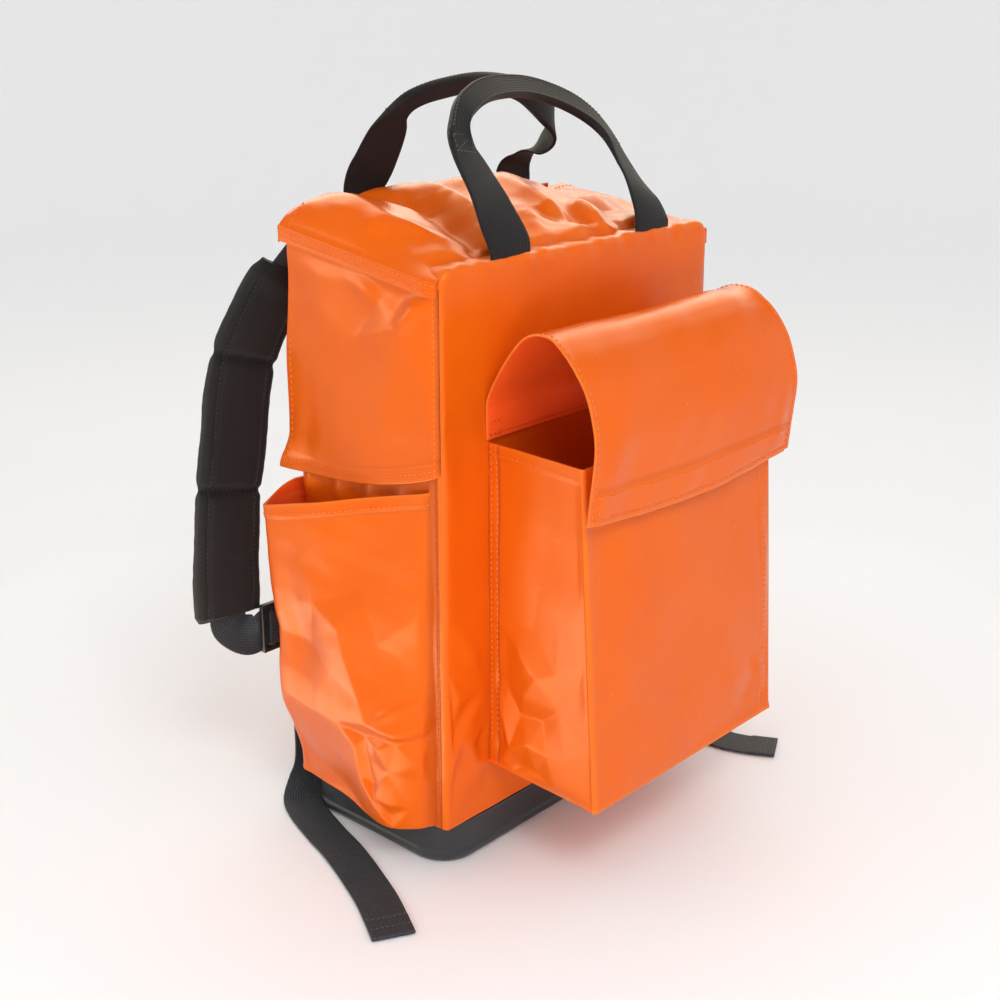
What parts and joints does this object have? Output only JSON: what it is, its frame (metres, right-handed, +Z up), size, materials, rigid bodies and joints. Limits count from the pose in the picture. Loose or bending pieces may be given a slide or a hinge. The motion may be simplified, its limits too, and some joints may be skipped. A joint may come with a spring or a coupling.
{
  "type": "tool backpack",
  "caption": "Tall coated-cloth tool backpack on a moulded tray, with open side pockets, a flapped box pocket, webbing carrying handles and padded shoulder straps.",
  "frame": {"origin": "middle of the tray's flat underside", "axes": "+Z up, -Y out of the front, where the flapped pocket is, +X to the bag's right side as seen from the front"},
  "size_m": [0.4756, 0.319, 0.5747],
  "materials": {
    "orange_cloth": "glossy vinyl-coated cloth",
    "orange_cloth_inside": "satin vinyl-coated cloth, inner side",
    "black_webbing": "woven webbing",
    "black_padding": "matte cloth over foam",
    "charcoal_plastic": "satin moulded plastic"
  },
  "bodies": {
    "root": {"front_panel": "orange_cloth", "back_panel": "orange_cloth", "lid": "orange_cloth", "front_pocket": "orange_cloth", "front_pocket_flap": "orange_cloth", "side_flap_left": "orange_cloth", "side_flap_right": "orange_cloth", "side_pocket_left": "orange_cloth", "side_pocket_right": "orange_cloth", "body_shell": "orange_cloth_inside", "front_handle": "black_webbing", "back_handle": "black_webbing", "strap_top_left": "black_webbing", "strap_top_right": "black_webbing", "strap_tail_left": "black_webbing", "strap_tail_right": "black_webbing", "strap_anchor_left": "black_webbing", "strap_anchor_right": "black_webbing", "shoulder_pad_left": "black_padding", "shoulder_pad_right": "black_padding", "base_tray": "charcoal_plastic", "ladder_lock_left": "charcoal_plastic", "ladder_lock_right": "charcoal_plastic"}
  },
  "joints": []
}
